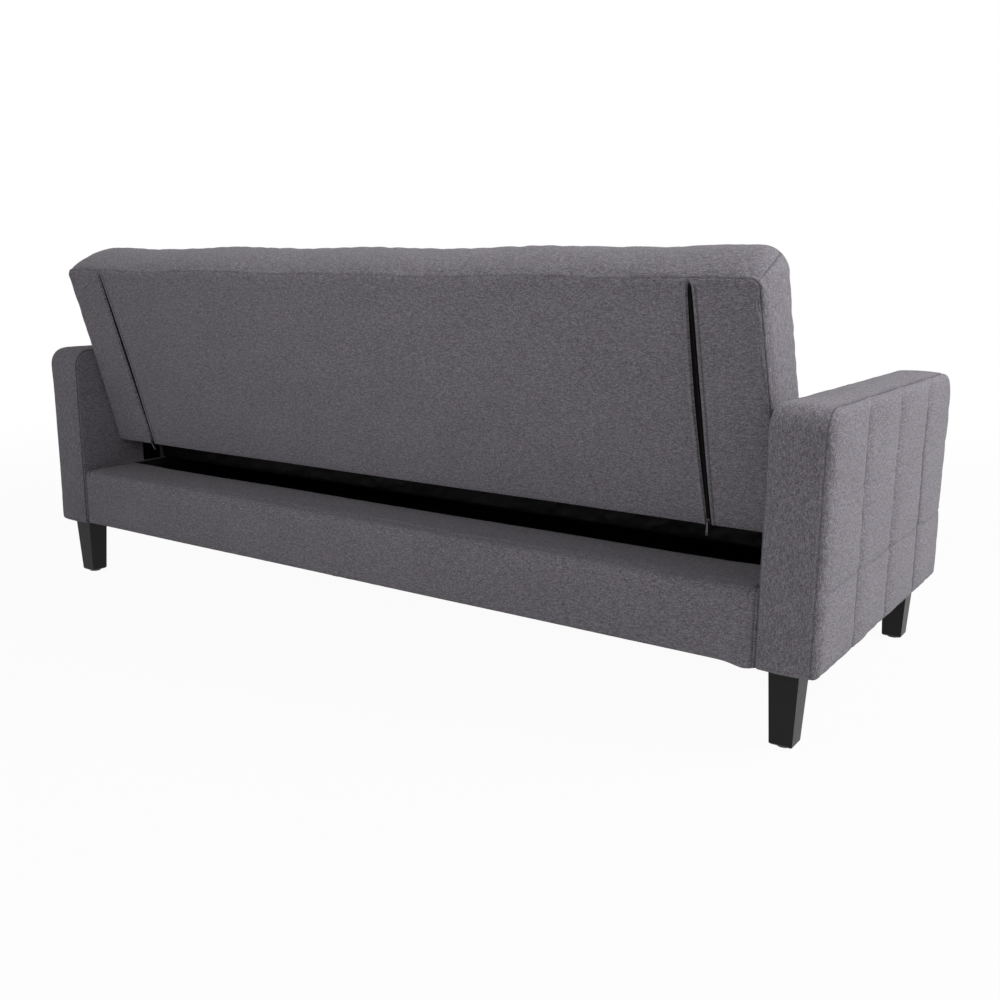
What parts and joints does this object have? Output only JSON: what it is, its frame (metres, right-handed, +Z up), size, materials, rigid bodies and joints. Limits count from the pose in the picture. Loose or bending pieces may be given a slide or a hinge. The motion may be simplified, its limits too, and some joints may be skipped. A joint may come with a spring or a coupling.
{
  "type": "storage sofa bed",
  "caption": "Upholstered sofa bed with slim quilted arms on tapered legs; the back folds flat and the seat lifts off a bedding box.",
  "frame": {"origin": "on the floor, under the middle of the sofa", "axes": "+Z up, +X towards the sitter's left arm, -Y the way the sitter faces"},
  "size_m": [2.124, 0.8788, 0.8762],
  "materials": {
    "grey_fabric": "matte",
    "black_lining": "matte",
    "foam": "matte",
    "pine": "matte",
    "plywood": "matte",
    "fibreboard": "matte",
    "black_wood": "satin",
    "yellow_zinc": "satin",
    "steel": "satin",
    "black_plastic": "matte",
    "zip_tape": "matte",
    "zip_metal": "polished"
  },
  "bodies": {
    "base": {"arm_bolts": "steel", "floor_battens": "pine", "front_left_leg": "black_wood", "front_rail_board": "pine", "front_rail_cover": "grey_fabric", "front_right_leg": "black_wood", "hinge_pins": "steel", "hinge_plate_screws": "steel", "hinge_washers": "steel", "left_arm_band": "grey_fabric", "left_arm_frame": "pine", "left_arm_inner_pad": "grey_fabric", "left_arm_outer_pad": "grey_fabric", "left_hinge_plate": "yellow_zinc", "left_side_board": "pine", "leg_bolts": "steel", "leg_glides": "black_plastic", "leg_plates": "steel", "rear_inner_board": "pine", "rear_ledge_board": "pine", "rear_left_leg": "black_wood", "rear_rail_board": "pine", "rear_rail_cover": "grey_fabric", "rear_right_leg": "black_wood", "right_arm_band": "grey_fabric", "right_arm_frame": "pine", "right_arm_inner_pad": "grey_fabric", "right_arm_outer_pad": "grey_fabric", "right_hinge_plate": "yellow_zinc", "right_side_board": "pine", "seat_rest_pads": "black_plastic", "storage_floor": "fibreboard"},
    "back": {"back_bottom_rail": "pine", "back_cover": "grey_fabric", "back_foam": "foam", "back_hinge_screws": "steel", "back_slats": "plywood", "back_stiles": "pine", "back_top_rail": "pine", "centre_back_panel": "grey_fabric", "left_back_hinge_arm": "yellow_zinc", "left_back_panel": "grey_fabric", "right_back_hinge_arm": "yellow_zinc", "right_back_panel": "grey_fabric", "zip_tapes": "zip_tape"},
    "seat": {"left_seat_hinge_arm": "yellow_zinc", "right_seat_hinge_arm": "yellow_zinc", "seat_cover": "grey_fabric", "seat_end_rails": "pine", "seat_foam": "foam", "seat_front_rail": "pine", "seat_hinge_screws": "steel", "seat_lining": "black_lining", "seat_rear_rail": "pine", "seat_slats": "plywood"},
    "left_zip_pull": {"left_zip_pull": "zip_metal"},
    "left_zip_slider": {"left_zip_slider": "zip_metal"},
    "right_zip_pull": {"right_zip_pull": "zip_metal"},
    "right_zip_slider": {"right_zip_slider": "zip_metal"}
  },
  "joints": [
    {"name": "seat_lift", "type": "hinge", "parent": "base", "child": "seat", "pos_m": [0, 0.188, 0.425], "axis": [-1, 0, 0], "range_deg": [0, 40]},
    {"name": "back_recline", "type": "hinge", "parent": "base", "child": "back", "pos_m": [0, 0.188, 0.425], "axis": [-1, 0, 0], "range_deg": [-8, 73]},
    {"name": "right_zip_slide", "type": "slide", "parent": "back", "child": "right_zip_slider", "axis": [0, 0.2924, 0.9563], "range_m": [0, 0.44]},
    {"name": "right_pull_swing", "type": "hinge", "parent": "right_zip_slider", "child": "right_zip_pull", "pos_m": [-0.8, 0.30779, 0.37321], "axis": [1, 0, 0], "range_deg": [-15, 150]},
    {"name": "left_zip_slide", "type": "slide", "parent": "back", "child": "left_zip_slider", "axis": [0, 0.2924, 0.9563], "range_m": [0, 0.44]},
    {"name": "left_pull_swing", "type": "hinge", "parent": "left_zip_slider", "child": "left_zip_pull", "pos_m": [0.8, 0.30779, 0.37321], "axis": [1, 0, 0], "range_deg": [-15, 150]}
  ]
}
